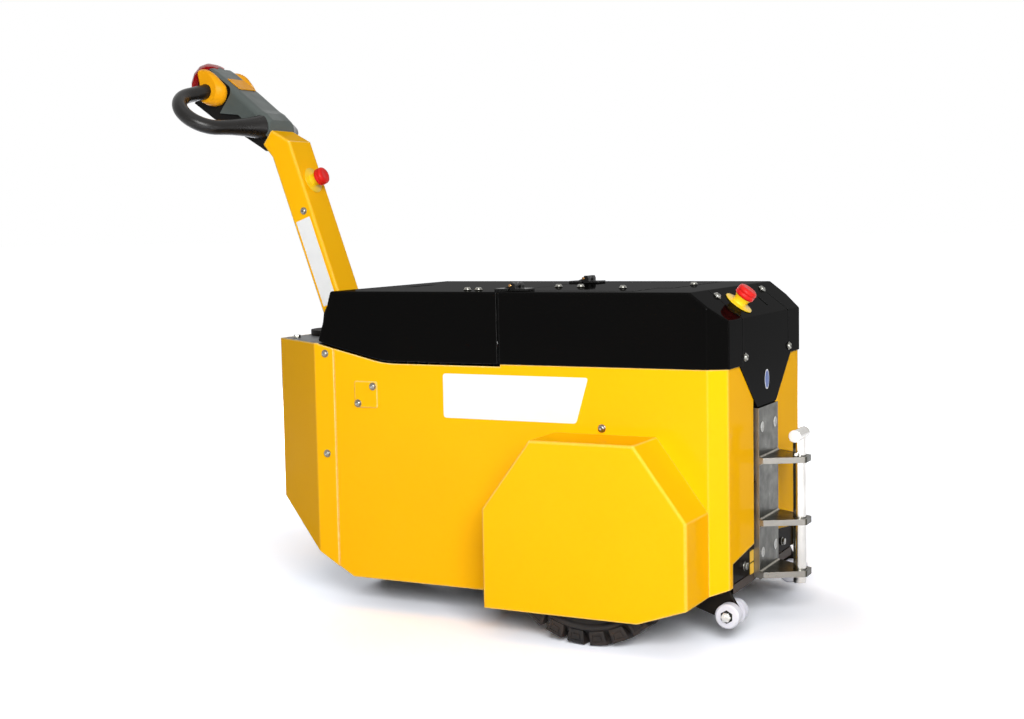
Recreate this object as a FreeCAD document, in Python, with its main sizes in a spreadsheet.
import FreeCAD, Part
import math
import os
import re
import Sketcher
from FreeCAD import Placement, Rotation, Vector

# Electric tow tug: a pedestrian tug with two drive wheels at the hitch end, a castor under
# the tail and a tiller on the tail deck.  Millimetres, +X towards the hitch, +Z up, the
# ground at z = 0, and y = 0 the plane of symmetry.  Heights are heights above the ground.

SIZES = {
    # body
    "nose": 659.5,  # x of the hitch-end face
    "body_length": 1082,
    "half_width": 250,
    "skin": 3,  # sheet thickness of every cover
    "bend": 5,  # outside radius of the sheets' bends and of the covers' edges
    "belly": 62,  # lower edge of the side panels
    "nose_step": 23,  # the hitch-end face is this much narrower on each side
    "nose_chamfer": 33.5,
    "nose_ramp": 133,  # length of the sloping underside at the hitch end
    "nose_rise": 43,
    "tail_half": 143.5,
    "tail_chamfer": 165,
    "tail_ramp": 249,
    "tail_rise": 144,
    "tail_flange": 214,  # the tail cover's side flange, from the tail end
    "deck_top": 561.5,
    "deck_plate": 5,
    "floor_plate": 6,
    "floor_gap": 5,  # the floor lies this far above the covers' lower edges
    "fit_gap": 0.3,  # seat clearance between pieces that touch without a fit
    "motion_gap": 5.2,  # clearance of pieces that move past each other
    "running_gap": 0.05,  # radial clearance of a shaft in its bore
    # hitch-end opening
    "opening_half": 75,
    "opening_top": 166,
    "sill_half": 208,
    "sill_top": 151,
    "fold": 6,
    # lids
    "lid_top": 672,
    "lid_low": 527,
    "lid_over": 2,  # the lids stand this far out past the side panels
    "lid_nose": 3,  # the front lid's face stands this far ahead of the body's face
    "slope_run": 67.5,
    "slope_drop": 55,
    "seam": 471,  # from the hitch-end face to the seam between the lids
    "lid_tail_top": 209,  # these four are measured from the tail
    "lid_tail_low": 175,
    "rise_start": 337,
    "rise_end": 195,
    "lid_rise": 33,
    "rise_bend": 240,  # radius of the lower edge's two soft bends
    "lid_rear_edge": 580,
    "tongue_half": 164,
    "tongue_tip": 60,
    "tongue_low": 436,
    "slot_from_tail": 287,
    "slot_half": 55,
    "slot_width": 20,
    # seam grooves in the front lid
    "groove": 2.5,
    "groove_depth": 2,
    "groove_side": 209,
    "groove_front": 168,  # from the hitch-end face
    "groove_jog": 31,
    "groove_jog_y": 76,
    "groove_slope_y": 148,
    # lid hinges
    "hinge_y": 180,
    "hinge_leaf": 30,
    "hinge_half": 20,
    "hinge_thick": 4,
    "hinge_barrel": 6.5,
    "hinge_pin": 3,
    "hinge_knuckle": 13,
    # drive wheels
    "axle_back": 246,
    "tyre_radius": 187.5,
    "tyre_width": 88,
    "tyre_bead": 112,
    "tyre_gap": 12,  # from the side panel to the tyre
    "rim_web": 8,
    "hub_radius": 42,
    "stub_radius": 17.5,
    "axle_tube": 45,
    "drive_case": 190,
    "drive_case_half": 120,
    # wheel guards
    "guard_room": 18.5,  # from the tyre's outer face to the guard's
    "guard_low": 60,
    "guard_behind": 23.5,  # room round the tyre, to the guard's outside
    "guard_ahead": 24.5,
    "guard_above": 20,
    "guard_shoulder": 68,  # above the axle
    "guard_top_back": 106,
    "guard_top_front": 109,
    "guard_lip": 93.5,
    "guard_lip_back": 99,
    # castor
    "castor_from_tail": 252,
    "castor_trail": 40,
    "castor_radius": 80,
    "castor_width": 45,
    "castor_swing": 22,  # room round the castor in its well
    "castor_head": 45,  # from the wheel's top to the well's ceiling
    "castor_plate": 8,
    "fork_plate": 6,
    "race_radius": 42,
    "castor_axle": 8,
    # battery
    "battery_from_tail": 220,
    "battery_front": 490,  # from the hitch-end face
    "battery_side": 25,  # from the outside of the side panel
    "battery_height": 285,
    # hitch
    "hitch_half": 62.5,
    "hitch_back": 12,
    "hitch_low": 93,
    "hitch_high": 434,
    "hitch_reach": 83,
    "hitch_tip_half": 19,
    "hitch_taper": 75,
    "hitch_plate": 12,
    "hitch_corner": 7,
    "plate_top": 335,
    "plate_mid": 210,
    "plate_low": 105,
    "pin_reach": 69.5,
    "pin_radius": 13,
    "pin_hole": 14,
    "pin_low": 77,
    "handle_z": 377,
    "handle_radius": 12.5,
    "handle_half": 33,
    "cross_radius": 4,
    "cross_half": 24,
    # anti-tip rollers
    "roller_radius": 24,
    "roller_width": 22,
    "roller_z": 54.5,
    "roller_back": 5,
    "roller_in": 48,  # from the side panel's outside to the middle of the bracket plate
    "bracket_plate": 8,
    "sleeve_radius": 9,
    # tiller
    "steer_from_tail": 89,
    "disc_radius": 86,
    "disc_thick": 12,
    "ear_plate": 7,
    "ear_radius": 24,
    "tilt_trail": 8,  # the arm's pivot lies this far behind the steering axis
    "tilt_z": 608,
    "tilt_pin": 10,
    "lean": 19.6,
    "arm_width": 88,
    "arm_depth": 58,
    "arm_length": 403.5,
    "arm_wall": 3,
    "neck_length": 45,
    "neck_depth": 42,
    "head_pitch": 37,
    # tiller head; along the head means away from the arm's end, and heights are off its axis
    "head_half": 48,
    "head_waist": 40,
    "head_crest": 42,  # height of the flat top
    "head_edge": 16,  # radius of the top's long edges
    "head_cheek": 142,  # along the head to the recess for the paddles
    "cheek_low": 28.5,
    "cheek_edge": 17,
    "brow_end": 229,  # along the head to the end of the upper moulding
    "brow_thick": 6,
    "bow_centre": 222,  # along the head to the axis of its round end
    "bow_high": 36,
    "bow_low": 52,
    "cap_radius": 56,
    "cap_inner": 13,
    "cap_spread": 110,
    "arm_lip": 12,  # the lower moulding reaches this far under the arm's end
    "grip_radius": 17,
    "grip_droop": 16,
    "grip_hub": 188,  # along the head to the grip's outer leg
    "grip_bend": 63,
    "grip_root_y": 67,
    "grip_reach": 58,
    "grip_foot": 31,  # along the head to the middle of the flared root
    "grip_flare": 29,  # radius of the flared root
    "rocker_near": 137,  # along the head to the rocker buttons
    "rocker_length": 42,
    "rocker_width": 31,
    "rocker_rise": 2,
    "paddle_ring": 54,
    "paddle_out": 74,
    # emergency stops
    "estop_side": 78,
    "estop_slope": 41,  # from the console's front edge up its slope
    "estop_collar": 30,
    "estop_neck": 15,
    "estop_up": 20,  # height of the neck under the button
    "estop_radius": 20,
    "tiller_estop_up": 316,
    # access plate on the right-hand panel
    "access_from_tail": 264,
    "access_low": 427,
    "access_side": 56.5,
    "access_plate": 1.5,
    "access_corner": 5,
}

# places that follow from the sizes; those ending in _BACK lie behind the hitch-end face
DERIVED = {
    "NOSE_HALF": "(half_width - nose_step)",
    "LID_HALF": "(half_width + lid_over)",
    "LID_REAR_TOP": "(body_length - lid_tail_top)",
    "LID_REAR_LOW": "(body_length - lid_tail_low)",
    "RISE_START": "(body_length - rise_start)",
    "RISE_END": "(body_length - rise_end)",
    "SLOT_BACK": "(body_length - slot_from_tail)",
    "TYRE_OUT": "(half_width + tyre_gap + tyre_width)",
    "GUARD_OUT": "(half_width + tyre_gap + tyre_width + guard_room)",
    "GUARD_BACK": "(tyre_radius + guard_behind)",
    "GUARD_FRONT": "(tyre_radius + guard_ahead)",
    "GUARD_TOP": "(2*tyre_radius + guard_above)",
    "CASTOR_BACK": "(body_length - castor_from_tail)",
    "CASTOR_WELL": "(castor_trail + castor_radius + castor_swing)",
    "CASTOR_TOP": "(2*castor_radius + castor_head)",
    "BATTERY_BACK": "(body_length - battery_from_tail)",
    "BATTERY_HALF": "(half_width - battery_side)",
    "ROLLER_Y": "(half_width - roller_in)",
    "STEER_BACK": "(body_length - steer_from_tail)",
    "TILT_BACK": "(body_length - steer_from_tail + tilt_trail)",
    "ACCESS_BACK": "(body_length - access_from_tail)",
}

doc = FreeCAD.newDocument("tow_tug")
sheet = doc.addObject("Spreadsheet::Sheet", "Size")
for row, (alias, value) in enumerate(SIZES.items(), 1):
    sheet.set(f"A{row}", alias)
    sheet.set(f"B{row}", str(value))
    sheet.setAlias(f"B{row}", alias)
doc.recompute()


# ---------------------------------------------------------------- helpers

def cells(text):
    """The expression with each size's name turned into its cell's reference."""
    text = re.sub(r"[A-Z][A-Z_]+", lambda w: DERIVED[w[0]], text)
    return re.sub(r"[a-z][a-z0-9_]*", lambda w: f"Size.{w[0]}" if w[0] in SIZES else w[0], text)


def bind(thing, prop, text):
    thing.setExpression(prop, cells(text))


def number(text):
    """The expression's value."""
    return float(sheet.evalExpression(cells(text)))


def body(name):
    """An empty body whose label names its node."""
    part = doc.addObject("PartDesign::Body", name)
    part.Label = name
    return part


def sketch(part, role, offset=None):
    """An empty sketch on one of the body's own origin planes, offset along its normal."""
    drawn = part.newObject("Sketcher::SketchObject", f"{part.Name}_sketch")
    plane = [f for f in part.Origin.OriginFeatures if f.Role == role][0]
    drawn.AttachmentSupport = [(plane, "")]
    drawn.MapMode = "FlatFace"
    if offset is not None:
        bind(drawn, "AttachmentOffset.Base.z", offset)
    return drawn


def fix(drawn, kind, index, point, text, start=1.0):
    """Hold a point of the sketch at a bound distance from the sketch's origin."""
    rule = drawn.addConstraint(Sketcher.Constraint(kind, -1, 1, index, point, start))
    bind(drawn, f"Constraints[{rule}]", text)


def outline(part, role, corners, offset=None, drawn=None):
    """A closed outline of straight lines; each corner is a pair of expressions."""
    drawn = drawn or sketch(part, role, offset)
    first = drawn.GeometryCount
    count = len(corners)
    ring = [Vector(100 * math.cos(2 * math.pi * k / count), 100 * math.sin(2 * math.pi * k / count), 0)
            for k in range(count)]
    for k in range(count):
        drawn.addGeometry(Part.LineSegment(ring[k], ring[(k + 1) % count]), False)
    for k in range(count):
        follower = first + (k + 1) % count
        drawn.addConstraint(Sketcher.Constraint("Coincident", first + k, 2, follower, 1))
    for k, (across, along) in enumerate(corners):
        fix(drawn, "DistanceX", first + k, 1, across)
        fix(drawn, "DistanceY", first + k, 1, along)
    return drawn


def circle(part, role, across, along, radius, offset=None, drawn=None):
    """A circle on a sketch; its centre and radius are expressions."""
    drawn = drawn or sketch(part, role, offset)
    index = drawn.addGeometry(Part.Circle(Vector(5, 5, 0), Vector(0, 0, 1), 10), False)
    fix(drawn, "DistanceX", index, 3, across)
    fix(drawn, "DistanceY", index, 3, along)
    rule = drawn.addConstraint(Sketcher.Constraint("Radius", index, 10.0))
    bind(drawn, f"Constraints[{rule}]", radius)
    return drawn


def box(low_x, high_x, low_y, high_y):
    """Corners of a rectangle from its bounds."""
    return [(low_x, low_y), (high_x, low_y), (high_x, high_y), (low_x, high_y)]


def pad(part, drawn, length, both=False, back=False):
    """Extrude a sketch; both extrudes it evenly about its plane."""
    grown = part.newObject("PartDesign::Pad", f"{part.Name}_pad")
    grown.Profile = drawn
    grown.SideType = "Symmetric" if both else "One side"
    grown.Reversed = back
    bind(grown, "Length", length)
    doc.recompute()
    return grown


def cut(part, drawn, length=None, both=True, back=False):
    """Cut a sketch through the body, or to a length on one side of its plane."""
    before = part.Shape.Volume
    hole = part.newObject("PartDesign::Pocket", f"{part.Name}_cut")
    hole.Profile = drawn
    hole.SideType = "Symmetric" if both else "One side"
    hole.Reversed = back
    if length is None:
        hole.Type = "ThroughAll"
    else:
        bind(hole, "Length", length)
    doc.recompute()
    if not part.Shape.Volume < before - 1e-6:
        raise ValueError(f"{part.Label}: a cut took nothing away")
    return hole


def outward(face):
    """The face's outward normal at the middle of its parameters."""
    low_u, high_u, low_v, high_v = face.ParameterRange
    return face.normalAt((low_u + high_u) / 2, (low_v + high_v) / 2)


def outside_edges(part, is_open):
    """Picks, also once the body is hollow, its outside edges that border no open face."""
    rims = [edge.CenterOfMass for face in part.Tip.Shape.Faces if is_open(outward(face)) for edge in face.Edges]
    middles = [edge.CenterOfMass for edge in part.Tip.Shape.Edges]
    kept = [middle for middle in middles if all(middle.distanceToPoint(rim) > 0.01 for rim in rims)]
    return lambda middle, way: any(middle.distanceToPoint(spot) < 0.01 for spot in kept)


def shell(part, is_open, wall="skin"):
    """Hollow the body inwards, leaving out the faces that is_open picks by outward normal."""
    solid = part.Tip
    names = [f"Face{k}" for k, face in enumerate(solid.Shape.Faces, 1) if is_open(outward(face))]
    thin = part.newObject("PartDesign::Thickness", f"{part.Name}_shell")
    thin.Base = (solid, names)
    thin.Join = 1
    thin.Reversed = True
    bind(thin, "Value", wall)
    doc.recompute()
    return thin


def soften(part, radius, picked):
    """Round the straight edges that picked chooses by their middle and direction."""
    solid = part.Tip
    names = []
    for k, edge in enumerate(solid.Shape.Edges, 1):
        if len(edge.Vertexes) == 2 and edge.Curve.TypeId == "Part::GeomLine":
            start, end = (corner.Point for corner in edge.Vertexes)
            if picked((start + end) / 2, (end - start).normalize()):
                names.append(f"Edge{k}")
    rounded = part.newObject("PartDesign::Fillet", f"{part.Name}_fillet")
    rounded.Base = (solid, names)
    bind(rounded, "Radius", radius)
    doc.recompute()
    return rounded


def upright(*corners):
    """Picks the upright edges that stand on the given corners of the plan."""
    spots = [(number(across), number(along)) for across, along in corners]
    return lambda middle, way: abs(way.z) > 0.9 and any(
        math.hypot(middle.x - across, middle.y - along) < 0.01 for across, along in spots)


def crosswise(*corners):
    """Picks the edges along Y that pass through the given corners of the side view."""
    spots = [(number(across), number(up)) for across, up in corners]
    return lambda middle, way: abs(way.y) > 0.9 and any(
        math.hypot(middle.x - across, middle.z - up) < 0.01 for across, up in spots)


def revolve(part, drawn, axis="V_Axis", spread=None):
    """Turn a sketch full circle, or by a bound angle shared evenly by its two sides."""
    spun = part.newObject("PartDesign::Revolution", f"{part.Name}_revolve")
    spun.Profile = drawn
    spun.ReferenceAxis = (drawn, [axis])
    spun.Angle = 360
    if spread is not None:
        spun.Midplane = True
        bind(spun, "Angle", spread)
    doc.recompute()
    return spun


def place(part, across="0", side="0", up="0", turn=None):
    """Bind the part's placement; turn is an angle about +Y."""
    part.Placement = Placement(Vector(0, 0, 0), Rotation(Vector(0, 1, 0), 1.0))
    bind(part, "Placement.Base.x", across)
    bind(part, "Placement.Base.y", side)
    bind(part, "Placement.Base.z", up)
    bind(part, "Placement.Rotation.Angle", turn or "0")
    doc.recompute()


def mirrored(part, name):
    """The same piece on the other side of the plane of symmetry."""
    twin = doc.addObject("Part::Mirroring", name)
    twin.Label = name
    twin.Source = part
    twin.Normal = Vector(0, 1, 0)
    doc.recompute()
    return twin


nodes = []


def pair(part, stem):
    """Keep a right-hand piece and its left-hand twin as two nodes."""
    part.Label = f"{stem}_right"
    nodes.extend([part, mirrored(part, f"{stem}_left")])


# ---------------------------------------------------------------- chassis

TAIL = "nose - body_length"
RAMP_END = "nose - body_length + tail_ramp"
NOSE_BEND = "nose - nose_ramp"
UNDER_TAIL = [
    (RAMP_END, "belly"),
    ("nose - body_length - 1", "belly + tail_rise + tail_rise/tail_ramp"),
    ("nose - body_length - 1", "belly - 1"),
    (RAMP_END, "belly - 1"),
]


def chassis_frame():
    """Bent floor plate: ramp, floor, nose ramp and the upright that carries the hitch."""
    frame = body("chassis_frame")
    face = "nose - fold"
    low = "belly + floor_gap"
    outline_points = [
        ("nose - body_length + skin + fit_gap", "belly + floor_gap + tail_rise"),
        (RAMP_END, low),
        (NOSE_BEND, low),
        (face, "belly + floor_gap + nose_rise - 2"),
        (face, "lid_low - skin"),
        (f"{face} - floor_plate", "lid_low - skin"),
        (f"{face} - floor_plate", "belly + floor_gap + nose_rise + floor_plate - 2"),
        (NOSE_BEND, f"{low} + floor_plate"),
        (RAMP_END, f"{low} + floor_plate"),
        ("nose - body_length + skin + fit_gap", "belly + floor_gap + tail_rise + floor_plate"),
    ]
    pad(frame, outline(frame, "XZ_Plane", outline_points), "2*(half_width - skin - fit_gap)", both=True)
    for side in ("", "-"):
        tail = [
            ("nose - body_length - 1", f"{side}(tail_half - 2*skin)"),
            ("nose - body_length + tail_chamfer + skin", f"{side}(half_width - 2*skin)"),
            ("nose - body_length + tail_chamfer + skin", f"{side}(half_width + 1)"),
            ("nose - body_length - 1", f"{side}(half_width + 1)"),
        ]
        cut(frame, outline(frame, "XY_Plane", tail))
        nose = [
            ("nose + 1", f"{side}(NOSE_HALF - 2*skin)"),
            ("nose - nose_chamfer - skin", f"{side}(half_width - skin - fit_gap)"),
            ("nose - nose_chamfer - skin", f"{side}(half_width + 1)"),
            ("nose + 1", f"{side}(half_width + 1)"),
        ]
        cut(frame, outline(frame, "XY_Plane", nose))
    well = circle(frame, "XY_Plane", "nose - CASTOR_BACK", "0", "CASTOR_WELL")
    cut(frame, well, "tail_rise + belly", both=False, back=True)
    nodes.append(frame)


def castor_mount():
    """The well the castor swings in: a cap that stands on the floor and its ramp."""
    mount = body("castor_mount")
    round_cap = circle(mount, "XY_Plane", "nose - CASTOR_BACK", "0", "CASTOR_WELL + skin", "belly + floor_gap")
    pad(mount, round_cap, "CASTOR_TOP + castor_plate - belly - floor_gap")
    room = circle(mount, "XY_Plane", "nose - CASTOR_BACK", "0", "CASTOR_WELL", "belly + floor_gap")
    cut(mount, room, "CASTOR_TOP - belly - floor_gap", both=False, back=True)
    floor_top = "belly + floor_gap + floor_plate"
    under = [
        ("nose - body_length + skin + fit_gap", f"{floor_top} + tail_rise"),
        (RAMP_END, floor_top),
        ("nose - CASTOR_BACK + 2*CASTOR_WELL", floor_top),
        ("nose - CASTOR_BACK + 2*CASTOR_WELL", "0"),
        ("nose - body_length", "0"),
    ]
    cut(mount, outline(mount, "XZ_Plane", under))
    nodes.append(mount)


def side_panel():
    """Yellow side sheet, folded round the nose corner and back along the hitch opening."""
    panel = body("side_panel")
    back = "nose - body_length + tail_flange"
    sheet_line = [
        (back, "-half_width"),
        ("nose - nose_chamfer", "-half_width"),
        ("nose", "-NOSE_HALF"),
        ("nose", "-opening_half"),
        ("nose - fold", "-opening_half"),
        ("nose - fold", "-opening_half - skin"),
        ("nose - skin", "-opening_half - skin"),
        ("nose - skin", "-NOSE_HALF + 0.7*skin"),
        ("nose - nose_chamfer - 0.3*skin", "-half_width + skin"),
        (back, "-half_width + skin"),
    ]
    pad(panel, outline(panel, "XY_Plane", sheet_line, "belly"), "lid_low + lid_rise - belly")
    soften(panel, "bend", upright(("nose - nose_chamfer", "-half_width"), ("nose", "-NOSE_HALF"),
                                  ("nose", "-opening_half")))
    under_nose = [
        (NOSE_BEND, "belly"),
        ("nose + 1", "belly + nose_rise"),
        ("nose + 1", "belly - 1"),
        (NOSE_BEND, "belly - 1"),
    ]
    cut(panel, outline(panel, "XZ_Plane", under_nose))
    cut(panel, outline(panel, "XZ_Plane", UNDER_TAIL))
    sill = [
        ("-opening_half + 10", "opening_top"),
        ("-opening_half", "opening_top"),
        ("-sill_half", "sill_top"),
        ("-sill_half", "belly - 1"),
        ("-opening_half + 10", "belly - 1"),
    ]
    cut(panel, outline(panel, "YZ_Plane", sill, "nose + 1"), "fold + 2", both=False)
    under_lids = [
        ("nose + 1", "lid_low"),
        ("nose - seam", "lid_low"),
        ("nose - seam", "lid_low - motion_gap"),
        ("nose - RISE_START", "lid_low - motion_gap"),
        ("nose - RISE_END", "lid_low + lid_rise - motion_gap"),
        ("nose - RISE_END", "lid_low + lid_rise + 1"),
        ("nose + 1", "lid_low + lid_rise + 1"),
    ]
    cut(panel, outline(panel, "XZ_Plane", under_lids))
    soften(panel, "rise_bend", crosswise(("nose - RISE_START", "lid_low - motion_gap")))
    axle = circle(panel, "XZ_Plane", "nose - axle_back", "tyre_radius", "axle_tube + motion_gap")
    cut(panel, axle)
    pair(panel, "side_panel")


def tail_cover():
    """Yellow wrap round the tail; its side flanges stand as proud of the panels as the lids do."""
    cover = body("tail_cover")
    wrap = [
        (TAIL, "-tail_half"),
        ("nose - body_length + tail_chamfer", "-LID_HALF"),
        ("nose - body_length + tail_flange - fit_gap", "-LID_HALF"),
        ("nose - body_length + tail_flange - fit_gap", "-LID_HALF + skin"),
        ("nose - body_length + tail_chamfer + 0.3*skin", "-LID_HALF + skin"),
        ("nose - body_length + skin", "-tail_half + 0.5*skin"),
        ("nose - body_length + skin", "tail_half - 0.5*skin"),
        ("nose - body_length + tail_chamfer + 0.3*skin", "LID_HALF - skin"),
        ("nose - body_length + tail_flange - fit_gap", "LID_HALF - skin"),
        ("nose - body_length + tail_flange - fit_gap", "LID_HALF"),
        ("nose - body_length + tail_chamfer", "LID_HALF"),
        (TAIL, "tail_half"),
    ]
    pad(cover, outline(cover, "XY_Plane", wrap, "belly"), "deck_top - belly")
    soften(cover, "1.6*bend", upright(*(
        (along, f"{side}{across}") for side in ("", "-")
        for along, across in ((TAIL, "tail_half"), ("nose - body_length + tail_chamfer", "LID_HALF")))))
    cut(cover, outline(cover, "XZ_Plane", UNDER_TAIL))
    under_lid = [
        ("nose - RISE_START", "lid_low - motion_gap"),
        ("nose - RISE_END", "lid_low + lid_rise - motion_gap"),
        ("nose - LID_REAR_LOW", "lid_low + lid_rise"),
        ("nose - LID_REAR_LOW", "deck_top + 1"),
        ("nose - RISE_START", "deck_top + 1"),
    ]
    cut(cover, outline(cover, "XZ_Plane", under_lid))
    nodes.append(cover)


def tail_deck():
    """Plate that closes the tail and carries the tiller's turntable."""
    deck = body("tail_deck")
    plate = [
        ("nose - body_length + skin + fit_gap", "-tail_half + 0.5*skin"),
        ("nose - body_length + tail_chamfer + 0.3*skin", "-LID_HALF + skin + fit_gap"),
        ("nose - LID_REAR_LOW", "-LID_HALF + skin + fit_gap"),
        ("nose - LID_REAR_LOW", "LID_HALF - skin - fit_gap"),
        ("nose - body_length + tail_chamfer + 0.3*skin", "LID_HALF - skin - fit_gap"),
        ("nose - body_length + skin + fit_gap", "tail_half - 0.5*skin"),
    ]
    pad(deck, outline(deck, "XY_Plane", plate, "deck_top - deck_plate"), "deck_plate")
    nodes.append(deck)


def battery_pack():
    """Battery as one block on the castor mount."""
    pack = body("battery_pack")
    plan = box("nose - BATTERY_BACK", "nose - battery_front", "-BATTERY_HALF", "BATTERY_HALF")
    pad(pack, outline(pack, "XY_Plane", plan, "CASTOR_TOP + castor_plate"), "battery_height")
    nodes.append(pack)


# ---------------------------------------------------------------- lids and hinges

def lid_front():
    """Fixed gloss cover with the sloping console and the tongue over the hitch."""
    lid = body("lid_front")
    side = [
        ("nose - seam", "lid_low"),
        ("nose + lid_nose", "lid_low"),
        ("nose + lid_nose", "lid_top - slope_drop"),
        ("nose - slope_run", "lid_top"),
        ("nose - seam", "lid_top"),
    ]
    pad(lid, outline(lid, "XZ_Plane", side), "2*LID_HALF", both=True)
    for hand in ("", "-"):
        corner = [
            ("nose - nose_chamfer", f"{hand}LID_HALF"),
            ("nose + lid_nose", f"{hand}(LID_HALF - half_width + NOSE_HALF)"),
            ("nose + lid_nose + 1", f"{hand}(LID_HALF + 1)"),
            ("nose - nose_chamfer", f"{hand}(LID_HALF + 1)"),
        ]
        cut(lid, outline(lid, "XY_Plane", corner))
    is_open = lambda normal: normal.z < -0.9 or normal.x < -0.9
    edges = outside_edges(lid, is_open)
    shell(lid, is_open)
    soften(lid, "bend", edges)
    tongue = [
        ("-tongue_half", "lid_low + skin"),
        ("-tongue_half", "lid_low"),
        ("-tongue_tip", "tongue_low"),
        ("tongue_tip", "tongue_low"),
        ("tongue_half", "lid_low"),
        ("tongue_half", "lid_low + skin"),
    ]
    pad(lid, outline(lid, "YZ_Plane", tongue, "nose + lid_nose - skin"), "skin")
    seam_lines(lid)
    nodes.append(lid)


def ribbon(path, ways):
    """Corners of a groove along a path of legs parallel to the axes; ways are the legs' directions."""
    right = [(way_y, -way_x) for way_x, way_y in ways]
    bends = [(a[0] + b[0], a[1] + b[1]) for a, b in zip(right, right[1:])]
    sides = list(zip(path, [right[0], *bends, right[-1]]))
    there = [(f"{x} + {out_x}*groove/2", f"{y} + {out_y}*groove/2") for (x, y), (out_x, out_y) in sides]
    back = [(f"{x} - {out_x}*groove/2", f"{y} - {out_y}*groove/2") for (x, y), (out_x, out_y) in sides]
    return there + back[::-1]


def seam_lines(lid):
    """Grooves where the front lid's covers meet: one round its top, one down the console."""
    front = "nose - groove_front"
    top_path = [
        ("nose - seam - 1", "-groove_side"),
        (f"{front} - groove_jog", "-groove_side"),
        (f"{front} - groove_jog", "-groove_jog_y"),
        (front, "-groove_jog_y"),
        (front, "groove_side"),
        ("nose - seam - 1", "groove_side"),
    ]
    top = outline(lid, "XY_Plane", ribbon(top_path, [(1, 0), (0, 1), (1, 0), (0, 1), (-1, 0)]), "lid_top")
    cut(lid, top, "groove_depth", both=False)
    face = "nose + lid_nose"
    down = [
        ("nose - slope_run", "lid_top - groove_depth"),
        (f"{face} - groove_depth", "lid_top - slope_drop - groove_depth/2"),
        (f"{face} - groove_depth", "lid_low - 1"),
        (f"{face} + 1", "lid_low - 1"),
        (f"{face} + 1", "lid_top + 1"),
        ("nose - slope_run", "lid_top + 1"),
    ]
    cut(lid, outline(lid, "XZ_Plane", down, "groove_slope_y + groove/2"), "groove", both=False)


def lid_rear():
    """Battery lid: hinged at the seam, with a finger slot near its rear edge."""
    lid = body("lid_rear")
    side = [
        ("nose - seam - motion_gap", "lid_low"),
        ("nose - seam - motion_gap", "lid_top"),
        ("nose - LID_REAR_TOP", "lid_top"),
        ("nose - LID_REAR_LOW", "deck_top + 1.1*motion_gap"),
        ("nose - RISE_END", "lid_low + lid_rise"),
        ("nose - RISE_START", "lid_low"),
    ]
    pad(lid, outline(lid, "XZ_Plane", side), "2*LID_HALF", both=True)
    soften(lid, "rise_bend", crosswise(("nose - RISE_START", "lid_low"), ("nose - RISE_END", "lid_low + lid_rise")))
    is_open = lambda normal: normal.z < -0.5 or normal.x > 0.9
    edges = outside_edges(lid, is_open)
    shell(lid, is_open)
    soften(lid, "bend", edges)
    notch = box("-LID_HALF + 4*skin", "LID_HALF - 4*skin", "lid_low", "lid_rear_edge")
    cut(lid, outline(lid, "YZ_Plane", notch, "nose - RISE_END"), "RISE_END", both=False)
    slot = box("nose - SLOT_BACK - slot_width/2", "nose - SLOT_BACK + slot_width/2",
               "-slot_half", "slot_half")
    cut(lid, outline(lid, "XY_Plane", slot))
    nodes.append(lid)


def hinges():
    """Fixed leaf with two outer knuckles and the pin; moving leaf with the middle knuckle."""
    pin_x = "nose - seam + hinge_barrel"
    pin_z = "lid_top + hinge_thick + hinge_barrel"
    base = body("hinge_base")
    leaf = box("nose - seam + fit_gap", "nose - seam + hinge_leaf + hinge_barrel",
               "-hinge_y - hinge_half", "-hinge_y + hinge_half")
    pad(base, outline(base, "XY_Plane", leaf, "lid_top"), "hinge_thick")
    for low, high in (("-hinge_half", "-hinge_knuckle/2 - fit_gap"),
                      ("hinge_knuckle/2 + fit_gap", "hinge_half")):
        knuckle = [
            (f"{pin_x} - hinge_barrel", "lid_top + hinge_thick"),
            (f"{pin_x} + hinge_barrel", "lid_top + hinge_thick"),
            (f"{pin_x} + hinge_barrel", pin_z),
            (f"{pin_x} + 0.6*hinge_barrel", f"{pin_z} + 0.8*hinge_barrel"),
            (f"{pin_x} - 0.6*hinge_barrel", f"{pin_z} + 0.8*hinge_barrel"),
            (f"{pin_x} - hinge_barrel", pin_z),
        ]
        drawn = outline(base, "XZ_Plane", knuckle, f"hinge_y - ({low})")
        pad(base, drawn, f"({high}) - ({low})", back=True)
    pin = circle(base, "XZ_Plane", pin_x, pin_z, "hinge_pin", "hinge_y + hinge_half")
    pad(base, pin, "2*hinge_half", back=True)
    pair(base, "hinge_base")

    moving = body("hinge_leaf")
    rear_leaf = box("nose - seam - motion_gap - hinge_leaf", "nose - seam - motion_gap",
                    "-hinge_y - hinge_half", "-hinge_y + hinge_half")
    pad(moving, outline(moving, "XY_Plane", rear_leaf, "lid_top"), "hinge_thick")
    lug = [
        ("nose - seam - motion_gap - hinge_leaf/2", "lid_top + hinge_thick"),
        ("nose - seam - motion_gap", "lid_top + hinge_thick"),
        (pin_x, f"{pin_z} - hinge_pin - 1"),
        (pin_x, f"{pin_z} + hinge_pin + 1"),
    ]
    lug_sketch = outline(moving, "XZ_Plane", lug, "hinge_y + hinge_knuckle/2")
    pad(moving, lug_sketch, "hinge_knuckle", back=True)
    eye = circle(moving, "XZ_Plane", pin_x, pin_z, "0.8*hinge_barrel", "hinge_y + hinge_knuckle/2")
    pad(moving, eye, "hinge_knuckle", back=True)
    bore = circle(moving, "XZ_Plane", pin_x, pin_z, "hinge_pin + running_gap", "hinge_y + hinge_knuckle/2")
    cut(moving, bore, "hinge_knuckle", both=False, back=False)
    pair(moving, "hinge_leaf")


# ---------------------------------------------------------------- drive

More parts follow.
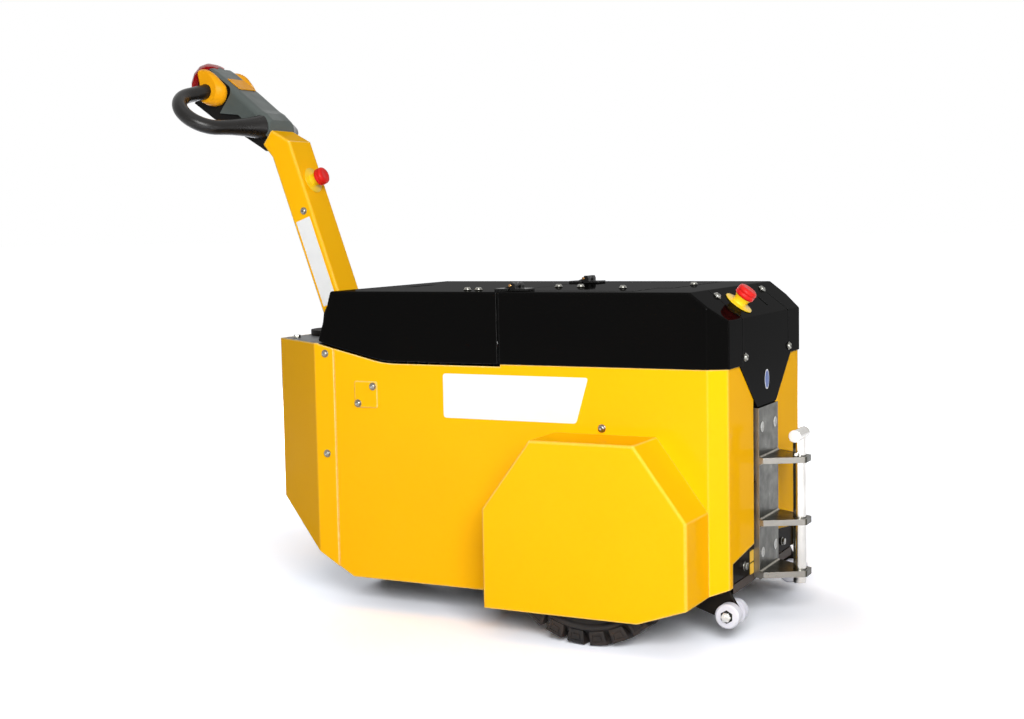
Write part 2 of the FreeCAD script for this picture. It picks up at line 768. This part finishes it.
def transaxle():
    """Drive unit as one block, with the axle tubes and the stubs the wheels turn on."""
    unit = body("transaxle")
    axis_x, axis_z = "nose - axle_back", "tyre_radius"
    floor_top = "belly + floor_gap + floor_plate"
    case = box(f"{axis_x} - drive_case/2", f"{axis_x} + drive_case/2", floor_top, "tyre_radius + drive_case/2")
    pad(unit, outline(unit, "XZ_Plane", case), "2*drive_case_half", both=True)
    tube = circle(unit, "XZ_Plane", axis_x, axis_z, "axle_tube")
    pad(unit, tube, "2*(TYRE_OUT - tyre_width - motion_gap)", both=True)
    stub = circle(unit, "XZ_Plane", axis_x, axis_z, "stub_radius")
    pad(unit, stub, "2*(TYRE_OUT - tyre_width/2)", both=True)
    nodes.append(unit)


def tyre():
    """Tyre turned about the axle, with a groove under each shoulder."""
    ring = body("tyre")
    section = [
        ("tyre_bead", "tyre_width*0.14"),
        ("tyre_radius*0.8", "0"),
        ("tyre_radius*0.94", "tyre_width*0.03"),
        ("tyre_radius", "tyre_width*0.16"),
        ("tyre_radius", "tyre_width*0.84"),
        ("tyre_radius*0.94", "tyre_width*0.97"),
        ("tyre_radius*0.8", "tyre_width"),
        ("tyre_bead", "tyre_width*0.86"),
    ]
    drawn = outline(ring, "XY_Plane", section)
    revolve(ring, drawn)
    place(ring, "nose - axle_back", "-TYRE_OUT", "tyre_radius")
    pair(ring, "tyre")


def rim():
    """Wheel disc with its bead seats, a dished web and the hub on the axle stub."""
    disc = body("rim")
    section = [
        ("stub_radius + running_gap", "tyre_width*0.36"),
        ("hub_radius*0.6", "tyre_width*0.2"),
        ("hub_radius", "tyre_width*0.24"),
        ("hub_radius + 6", "tyre_width*0.42"),
        ("tyre_bead - 22", "tyre_width*0.42"),
        ("tyre_bead - 10", "tyre_width*0.14"),
        ("tyre_bead", "tyre_width*0.14"),
        ("tyre_bead", "tyre_width*0.86"),
        ("tyre_bead - 8", "tyre_width*0.86"),
        ("tyre_bead - 14", "tyre_width*0.42 + rim_web"),
        ("hub_radius + 6", "tyre_width*0.42 + rim_web"),
        ("hub_radius", "tyre_width*0.8"),
        ("stub_radius + running_gap", "tyre_width*0.8"),
    ]
    drawn = outline(disc, "XY_Plane", section)
    revolve(disc, drawn)
    place(disc, "nose - axle_back", "-TYRE_OUT", "tyre_radius")
    pair(disc, "rim")


def wheel_guard():
    """Box guard over the drive wheel, open to the panel and below."""
    guard = body("wheel_guard")
    axis_x = "nose - axle_back"
    side = [
        (f"{axis_x} - GUARD_BACK", "guard_low"),
        (f"{axis_x} - GUARD_BACK", "tyre_radius + guard_shoulder"),
        (f"{axis_x} - guard_top_back", "GUARD_TOP"),
        (f"{axis_x} + guard_top_front", "GUARD_TOP"),
        (f"{axis_x} + GUARD_FRONT", "tyre_radius + guard_shoulder"),
        (f"{axis_x} + GUARD_FRONT", "guard_lip"),
        (f"{axis_x} + GUARD_FRONT - guard_lip_back", "guard_low"),
    ]
    drawn = outline(guard, "XZ_Plane", side, "half_width")
    pad(guard, drawn, "GUARD_OUT - half_width")
    is_open = lambda normal: normal.z < -0.3 or normal.y > 0.9
    edges = outside_edges(guard, is_open)
    shell(guard, is_open)
    soften(guard, "bend", edges)
    pair(guard, "wheel_guard")


# ---------------------------------------------------------------- castor

def castor():
    """Swivel fork and its wheel, trailing towards the tail."""
    swivel_x = "nose - CASTOR_BACK"
    wheel_x = "nose - CASTOR_BACK - castor_trail"
    fork = body("castor_fork")
    yoke = "castor_radius*2 + motion_gap + 2"
    race = circle(fork, "XY_Plane", swivel_x, "0", "race_radius", f"{yoke} + fork_plate")
    pad(fork, race, f"CASTOR_TOP - fit_gap - ({yoke}) - fork_plate")
    crown = box("nose - CASTOR_BACK - castor_trail - 20", "nose - CASTOR_BACK + race_radius",
                "-castor_width/2 - motion_gap - fork_plate", "castor_width/2 + motion_gap + fork_plate")
    pad(fork, outline(fork, "XY_Plane", crown, yoke), "fork_plate")
    for offset in ("castor_width/2 + motion_gap + fork_plate", "-castor_width/2 - motion_gap"):
        cheek = [
            (f"{wheel_x} - 20", yoke),
            (f"{wheel_x} - 20", "castor_radius - 18"),
            (f"{wheel_x} + 20", "castor_radius - 18"),
            (f"{swivel_x} + 30", yoke),
        ]
        pad(fork, outline(fork, "XZ_Plane", cheek, offset), "fork_plate", back=True)
    axle = circle(fork, "XZ_Plane", wheel_x, "castor_radius", "castor_axle",
                  "castor_width/2 + motion_gap + fork_plate + 5")
    pad(fork, axle, "castor_width + 2*motion_gap + 2*fork_plate + 10", back=True)
    nodes.append(fork)

    wheel = body("castor_wheel")
    section = [
        ("castor_axle + running_gap", "-castor_width/2 - motion_gap + 1"),
        ("castor_axle + 10", "-castor_width/2 - motion_gap + 1"),
        ("castor_axle + 10", "-castor_width/2 + 8"),
        ("castor_radius*0.72", "-castor_width/2 + 4"),
        ("castor_radius*0.9", "-castor_width/2"),
        ("castor_radius", "-castor_width/2 + 7"),
        ("castor_radius", "castor_width/2 - 7"),
        ("castor_radius*0.9", "castor_width/2"),
        ("castor_radius*0.72", "castor_width/2 - 4"),
        ("castor_axle + 10", "castor_width/2 - 8"),
        ("castor_axle + 10", "castor_width/2 + motion_gap - 1"),
        ("castor_axle + running_gap", "castor_width/2 + motion_gap - 1"),
    ]
    revolve(wheel, outline(wheel, "XY_Plane", section))
    place(wheel, wheel_x, "0", "castor_radius")
    nodes.append(wheel)


# ---------------------------------------------------------------- hitch

def hitch():
    """Back plate, three drilled tongue plates and the tow pin that lifts out of them."""
    back = body("hitch_back")
    plate = box("-hitch_half", "hitch_half", "hitch_low", "hitch_high")
    pad(back, outline(back, "YZ_Plane", plate, "nose - fold"), "hitch_back")
    nodes.append(back)

    root = "nose - fold + hitch_back"
    tip = "nose - fold + hitch_back + hitch_reach"
    for name, top in (("hitch_plate_top", "plate_top"), ("hitch_plate_mid", "plate_mid"),
                      ("hitch_plate_low", "plate_low")):
        tongue = body(name)
        plan = [
            (root, "-hitch_half"),
            (f"{tip} - hitch_taper", "-hitch_half"),
            (tip, "-hitch_tip_half"),
            (tip, "hitch_tip_half"),
            (f"{tip} - hitch_taper", "hitch_half"),
            (root, "hitch_half"),
        ]
        drawn = outline(tongue, "XY_Plane", plan, f"{top} - hitch_plate")
        circle(tongue, "XY_Plane", "nose + pin_reach", "0", "pin_hole", drawn=drawn)
        pad(tongue, drawn, "hitch_plate")
        soften(tongue, "hitch_corner", upright((tip, "-hitch_tip_half"), (tip, "hitch_tip_half")))
        nodes.append(tongue)

    pin = body("tow_pin")
    shaft = circle(pin, "XY_Plane", "nose + pin_reach", "0", "pin_radius", "pin_low")
    pad(pin, shaft, "handle_z - pin_low")
    grip = circle(pin, "XZ_Plane", "nose + pin_reach", "handle_z", "handle_radius")
    pad(pin, grip, "2*handle_half", both=True)
    cross = circle(pin, "XZ_Plane", "nose + pin_reach", "plate_top + cross_radius + fit_gap", "cross_radius")
    pad(pin, cross, "2*cross_half", both=True)
    nodes.append(pin)


# ---------------------------------------------------------------- anti-tip rollers

def rollers():
    """Bracket plate under the nose ramp, and a spool of two rollers turning in it."""
    roller_x = "nose - roller_back"
    bracket = body("roller_bracket")
    plate = [
        ("nose - roller_back + 14", "roller_z + 12"),
        ("nose - roller_back + 9", "roller_z - 13"),
        ("nose - roller_back - 12", "roller_z - 14"),
        ("nose - roller_back - 70", "belly - 2"),
        ("nose - nose_ramp", "belly + floor_gap"),
        ("nose - skin - fit_gap - 10", "belly + floor_gap + nose_rise - 6"),
    ]
    drawn = outline(bracket, "XZ_Plane", plate, "ROLLER_Y + bracket_plate/2")
    circle(bracket, "XZ_Plane", roller_x, "roller_z", "sleeve_radius + running_gap", drawn=drawn)
    pad(bracket, drawn, "bracket_plate", back=True)
    pair(bracket, "roller_bracket")

    spool = body("roller")
    gap = "bracket_plate/2 + motion_gap"
    section = [
        ("0", f"-({gap}) - roller_width"),
        ("roller_radius - 3", f"-({gap}) - roller_width"),
        ("roller_radius", f"-({gap}) - roller_width + 3"),
        ("roller_radius", f"-({gap})"),
        ("sleeve_radius", f"-({gap})"),
        ("sleeve_radius", gap),
        ("roller_radius", gap),
        ("roller_radius", f"{gap} + roller_width - 3"),
        ("roller_radius - 3", f"{gap} + roller_width"),
        ("0", f"{gap} + roller_width"),
    ]
    revolve(spool, outline(spool, "XY_Plane", section))
    place(spool, roller_x, "-ROLLER_Y", "roller_z")
    pair(spool, "roller")


# ---------------------------------------------------------------- tiller

def turntable():
    """Disc on the deck with the two ears that hold the arm's pivot pin."""
    table = body("turntable")
    steer_x = "nose - STEER_BACK"
    pad(table, circle(table, "XY_Plane", steer_x, "0", "disc_radius", "deck_top + fit_gap"), "disc_thick")
    inner = "arm_width/2 + 1"
    pivot_x = "nose - TILT_BACK"
    for near, back in ((f"{inner} + ear_plate", True), (f"-({inner})", True)):
        ear = [
            (f"{pivot_x} - ear_radius - 6", "deck_top + disc_thick"),
            (f"{pivot_x} + ear_radius + 14", "deck_top + disc_thick"),
            (f"{pivot_x} + ear_radius", "tilt_z + 4"),
            (f"{pivot_x} + 0.6*ear_radius", "tilt_z + 0.9*ear_radius"),
            (f"{pivot_x} - 0.6*ear_radius", "tilt_z + 0.9*ear_radius"),
            (f"{pivot_x} - ear_radius", "tilt_z + 4"),
        ]
        pad(table, outline(table, "XZ_Plane", ear, near), "ear_plate", back=back)
    pin = circle(table, "XZ_Plane", pivot_x, "tilt_z", "tilt_pin", f"{inner} + ear_plate + 5")
    pad(table, pin, f"2*({inner} + ear_plate + 5)", back=True)
    nodes.append(table)


def tiller_arm():
    """Box tube leaning towards the tail, bent at the neck; drawn upright about its pivot."""
    arm = body("tiller_arm")
    bend = "head_pitch - 90 + lean"
    neck_x = "neck_length*sin((90 - head_pitch - lean)*1 deg)"
    neck_z = "arm_length + neck_length*cos((90 - head_pitch - lean)*1 deg)"
    half_x = "neck_depth/2*cos((90 - head_pitch - lean)*1 deg)"
    half_z = "neck_depth/2*sin((90 - head_pitch - lean)*1 deg)"
    side = [
        ("-arm_depth/2", "-arm_depth/4"),
        ("-arm_depth/4", "-arm_depth/2 + 1"),
        ("arm_depth/4", "-arm_depth/2 + 1"),
        ("arm_depth/2", "-arm_depth/4"),
        ("arm_depth/2", "arm_length + arm_depth/2*tan((90 - head_pitch - lean)/2*1 deg)"),
        (f"-({neck_x}) + {half_x}", f"{neck_z} + {half_z}"),
        (f"-({neck_x}) - {half_x}", f"{neck_z} - {half_z}"),
        ("-arm_depth/2", "arm_length - arm_depth/2*tan((90 - head_pitch - lean)/2*1 deg)"),
    ]
    pad(arm, outline(arm, "XZ_Plane", side), "arm_width", both=True)
    shell(arm, lambda normal: normal.z < -0.9, "arm_wall")
    soften(arm, "bend", lambda middle, way: abs(abs(middle.y) - number("arm_width/2")) < 0.01 and middle.z > 0
           and abs(way.y) < 0.1 and abs(way.z) > 0.7)
    bore = circle(arm, "XZ_Plane", "0", "0", "tilt_pin + running_gap")
    cut(arm, bore)
    place(arm, "nose - TILT_BACK", "0", "tilt_z", "-lean")
    nodes.append(arm)


HEAD_X = ("nose - TILT_BACK - arm_length*sin(lean*1 deg) - neck_length*cos(head_pitch*1 deg)")
HEAD_Z = ("tilt_z + arm_length*cos(lean*1 deg) + neck_length*sin(head_pitch*1 deg)")


def on_head(part):
    """Seat a piece drawn in the head's own frame: -X along the head, +Z out of its top."""
    place(part, HEAD_X, "0", HEAD_Z, "head_pitch")


def on_bow(part):
    """A sketch on the head's plane of symmetry whose V axis is the axis of its round end."""
    drawn = sketch(part, "XZ_Plane")
    bind(drawn, "AttachmentOffset.Base.x", "-bow_centre")
    return drawn


def head_cover():
    """Upper moulding: a full-width shell that narrows to a brow over the paddles' recesses."""
    cover = body("head_cover")
    side = [
        ("0", "4"),
        ("0", "0.45*head_crest"),
        ("-16", "head_crest - 3"),
        ("-40", "head_crest"),
        ("-56", "head_crest - 2"),
        ("-0.9*rocker_near", "head_crest"),
        ("-brow_end + 20", "head_crest"),
        ("-brow_end", "head_crest - 2"),
        ("-brow_end", "-cheek_low"),
        ("-head_cheek", "-cheek_low"),
        ("-123", "-18"),
        ("-96", "-2"),
        ("-60", "-4"),
    ]
    pad(cover, outline(cover, "XZ_Plane", side), "2*head_half", both=True)
    soften(cover, "head_edge", lambda middle, way: abs(way.y) < 0.1 and middle.z > number("head_crest - 4"))
    recess = box("-brow_end - 1", "-head_cheek", "-cheek_low - 1", "bow_high")
    cut(cover, outline(cover, "XZ_Plane", recess))
    soften(cover, "cheek_edge", crosswise(("-head_cheek", "bow_high")))
    tab = circle(cover, "XY_Plane", "-bow_centre", "0", "cap_inner - fit_gap", "bow_high")
    pad(cover, tab, "brow_thick - 1.5")
    on_head(cover)
    nodes.append(cover)


def head_base():
    """Lower moulding with a round end; a lip wraps under the arm's end."""
    base = body("head_base")
    top = "bow_high - fit_gap"
    side = [
        ("0", "3.7"),
        ("-60", "-4.3"),
        ("-96", "-2.3"),
        ("-123", "-18.3"),
        ("-head_cheek - fit_gap", "-cheek_low - fit_gap"),
        ("-head_cheek - fit_gap", f"{top} - 1.2*cheek_edge"),
        ("-head_cheek - 1.2*cheek_edge", top),
        ("-bow_centre", top),
        ("-bow_centre", "-bow_low - 2"),
        ("-155", "-bow_low"),
        ("-110", "-45"),
        ("-60", "-36"),
        ("-6", "-30"),
        ("arm_lip", "-neck_depth/2 - 0.3*arm_lip - 4"),
        ("arm_lip", "-neck_depth/2 - 0.3*arm_lip"),
        ("0", "-neck_depth/2 - 2*fit_gap"),
    ]
    pad(base, outline(base, "XZ_Plane", side), "2*head_waist", both=True)
    bow = [
        ("0", top),
        ("0.7*head_waist", "bow_high - 4"),
        ("0.92*head_waist", "0.55*bow_high"),
        ("head_waist", "0"),
        ("0.92*head_waist", "-0.4*bow_low"),
        ("0.7*head_waist", "-0.8*bow_low"),
        ("0", "-bow_low - 2"),
    ]
    revolve(base, outline(base, "XZ_Plane", bow, drawn=on_bow(base)))
    on_head(base)
    nodes.append(base)


def drooped(drawn, across, up, out):
    """Tilt a sketch on the XZ plane so that it faces out along the grips' drooping plane."""
    drawn.AttachmentOffset = Placement(Vector(0, 0, 0), Rotation(Vector(1, 0, 0), 1.0))
    bind(drawn, "AttachmentOffset.Base.x", across)
    bind(drawn, "AttachmentOffset.Base.y", up)
    bind(drawn, "AttachmentOffset.Base.z", out)
    bind(drawn, "AttachmentOffset.Rotation.Angle", "grip_droop")


ROOT_DEPTH = "(grip_root_y - head_waist + 4)"


def flared_leg(foot, bend_end):
    """The loop's back leg: round where it leaves the bend, swelling into the head's side."""
    along = foot - bend_end
    radius, flare = number("grip_radius"), number("grip_flare")
    rings = []
    for part_way in (0, 0.4, 0.7, 1):
        swell = radius + (flare - radius) * part_way ** 2.2
        centre = bend_end + along * part_way
        rings.append(Part.Wire(Part.makeCircle(swell, centre, along)))
    return Part.makeLoft(rings, True)


def grip():
    """Closed hand loop: a leg out of the head, a round bend and a flared leg back to its side."""
    droop = Rotation(Vector(1, 0, 0), number("grip_droop"))
    root = Vector(0, number("-grip_root_y"), 0)
    hub, bend = number("grip_hub"), number("grip_bend")
    centre = Vector(bend - hub, number("-grip_reach"), 0)
    foot = Vector(number("-grip_foot"), number(ROOT_DEPTH), 0)
    # the leg to the foot leaves the bend where it is tangent to it
    reach = foot - centre
    turn = math.atan2(reach.y, reach.x) - math.acos(bend / reach.Length)
    tangent = centre + Vector(math.cos(turn), math.sin(turn), 0) * bend
    middle = (math.pi + turn + 2 * math.pi) / 2 - math.pi if turn > 0 else (turn - math.pi) / 2
    crown = centre + Vector(math.cos(middle), math.sin(middle), 0) * bend
    start = Vector(-hub, number(ROOT_DEPTH), 0)
    spread = [droop.multVec(point) + root for point in (start, Vector(-hub, centre.y, 0), crown, tangent, foot)]
    path = Part.Wire([Part.LineSegment(spread[0], spread[1]).toShape(),
                      Part.Arc(spread[1], spread[2], spread[3]).toShape()])
    ring = Part.Wire(Part.makeCircle(number("grip_radius"), spread[0], spread[1] - spread[0]))
    loop = doc.addObject("Part::Feature", "grip_loop")
    loop.Shape = path.makePipeShell([ring], True, False).fuse(flared_leg(spread[4], spread[3])).removeSplitter()
    on_head(loop)
    head = doc.addObject("Part::MultiFuse", "head_solid")
    head.Shapes = [doc.getObject("head_cover"), doc.getObject("head_base")]
    flush = doc.addObject("Part::Cut", "grip")
    flush.Base = loop
    flush.Tool = head
    doc.recompute()
    pair(flush, "grip")


def paddle():
    """Thumb paddle: a smooth crescent round the grip's leg with a wing towards the far end."""
    hub = number("grip_hub")
    # each ring: its distance out and its shape about the hub, away from the arm and up
    rings = [
        ("head_waist + fit_gap", [(44, 18), (26, 26), (0, 28), (-22, 24), (-35, 12), (-37, -4), (-29, -18),
                                  (-10, -26), (4, -26), (14, -12), (26, 4)]),
        ("paddle_ring", [(48, 27), (36, 35), (14, 40), (-10, 38), (-32, 32), (-43, 14), (-42, -4),
                         (-30, -20), (-8, -30), (4, -30), (16, -14), (28, 6)]),
        ("paddle_out", [(41, 29), (32, 35), (16, 38), (-2, 34), (-16, 27), (-27, 14), (-28, -2),
                        (-22, -14), (-8, -25), (3, -25), (14, -10), (26, 8)]),
    ]
    wires = []
    for out, shape in rings:
        curve = Part.BSplineCurve()
        curve.interpolate([Vector(-hub - away, -number(out), up) for away, up in shape], True)
        wires.append(Part.Wire(curve.toShape()))
    wing = doc.addObject("Part::Feature", "paddle_wing")
    wing.Shape = Part.makeLoft(wires, True)
    on_head(wing)
    return wing


def belly_button():
    """Red safety button: a dome that caps the round far end of the head."""
    button = body("belly_button")
    inner = "head_waist + 2*fit_gap"
    dome = [
        ("-cap_inner", "head_crest - 1"),
        ("-0.5*cap_radius", "head_crest - 3"),
        ("-0.75*cap_radius", "0.78*head_crest"),
        ("-0.93*cap_radius", "0.48*head_crest"),
        ("-cap_radius", "0"),
        ("-0.93*cap_radius", "-0.5*head_crest"),
        ("-0.74*cap_radius", "-head_crest"),
        (f"-0.7*({inner}) - 1", "-0.8*bow_low"),
        (f"-0.92*({inner})", "-0.4*bow_low"),
        (f"-({inner})", "0"),
        (f"-0.92*({inner})", "0.55*bow_high"),
        (f"-0.7*({inner})", "bow_high - 4 + fit_gap"),
        ("-cap_inner", "bow_high + fit_gap"),
    ]
    revolve(button, outline(button, "XZ_Plane", dome, drawn=on_bow(button)), spread="cap_spread")
    on_head(button)
    nodes.append(button)


def rocker():
    """Push button on top of the head; with its twin it makes one wide key."""
    key = body("rocker")
    plan = box("-rocker_near - rocker_length", "-rocker_near", "-rocker_width", "-fit_gap/2")
    pad(key, outline(key, "XY_Plane", plan, "head_crest + fit_gap"), "rocker_rise")
    on_head(key)
    pair(key, "rocker")


def mushroom(name):
    """Emergency stop turned about its own axis: collar, neck and mushroom button."""
    stop = body(name)
    section = [
        ("0", "fit_gap"),
        ("estop_collar", "fit_gap"),
        ("estop_collar", "2.5"),
        ("estop_neck + 3", "4"),
        ("estop_neck + 3", "estop_up - 6"),
        ("estop_neck", "estop_up - 6"),
        ("estop_neck", "estop_up"),
        ("estop_radius - 1", "estop_up"),
        ("estop_radius", "estop_up + 2"),
        ("estop_radius", "estop_up + 11"),
        ("estop_radius - 3", "estop_up + 15"),
        ("estop_radius/2", "estop_up + 17"),
        ("0", "estop_up + 17.5"),
    ]
    revolve(stop, outline(stop, "XZ_Plane", section))
    nodes.append(stop)
    return stop


def emergency_stops():
    """One on the console's slope, one on the tiller facing the hitch."""
    slope = "atan(slope_drop/(slope_run + lid_nose))"
    place(mushroom("lid_estop"), f"nose + lid_nose - estop_slope*cos({slope})", "-estop_side",
          f"lid_top - slope_drop + estop_slope*sin({slope})", slope)
    along = "tiller_estop_up"
    place(mushroom("tiller_estop"),
          f"nose - TILT_BACK - {along}*sin(lean*1 deg) + arm_depth/2*cos(lean*1 deg)", "0",
          f"tilt_z + {along}*cos(lean*1 deg) + arm_depth/2*sin(lean*1 deg)", "90 - lean")


def access_plate():
    """Small screwed plate on the right-hand panel."""
    plate = body("access_plate")
    left, right = "nose - ACCESS_BACK", "nose - ACCESS_BACK + access_side"
    low, high = "access_low", "access_low + access_side"
    pad(plate, outline(plate, "XZ_Plane", box(left, right, low, high), "half_width"), "access_plate")
    soften(plate, "access_corner", crosswise((left, low), (right, low), (left, high), (right, high)))
    nodes.append(plate)


def controls():
    """The grips and the paddles, which the grips' legs pass through."""
    grip()
    wing = paddle()
    leg = body("paddle_hole")
    hole = sketch(leg, "XZ_Plane")
    drooped(hole, "-grip_hub", f"{ROOT_DEPTH}*sin(grip_droop*1 deg)",
            f"grip_root_y - {ROOT_DEPTH}*cos(grip_droop*1 deg)")
    circle(leg, "XZ_Plane", "0", "0", "grip_radius + fit_gap", drawn=hole)
    pad(leg, hole, "paddle_out")
    on_head(leg)
    around = doc.addObject("Part::Cut", "paddle_cut")
    around.Base = wing
    around.Tool = leg
    doc.recompute()
    pair(around, "paddle")


BUILDERS = [
    chassis_frame, castor_mount, side_panel, tail_cover, tail_deck, battery_pack,
    lid_front, lid_rear, hinges, transaxle, tyre, rim, wheel_guard, castor, hitch, rollers,
    turntable, tiller_arm, head_cover, head_base, controls, belly_button, rocker,
    emergency_stops, access_plate,
]

for build in BUILDERS:
    build()

doc.recompute()
for thing in doc.Objects:
    if "Invalid" in thing.State or "Error" in thing.State:
        raise ValueError(f"{thing.Label} did not recompute: {thing.State}")
os.makedirs("parts", exist_ok=True)
for node in nodes:
    if node.Shape.isNull() or not node.Shape.isValid():
        raise ValueError(f"{node.Label} has no valid shape")
    node.Shape.exportStep(f"parts/{node.Label}.step")
    print(f"{node.Label:20s} solids {len(node.Shape.Solids)}  volume {node.Shape.Volume / 1e6:9.4f} dm3")
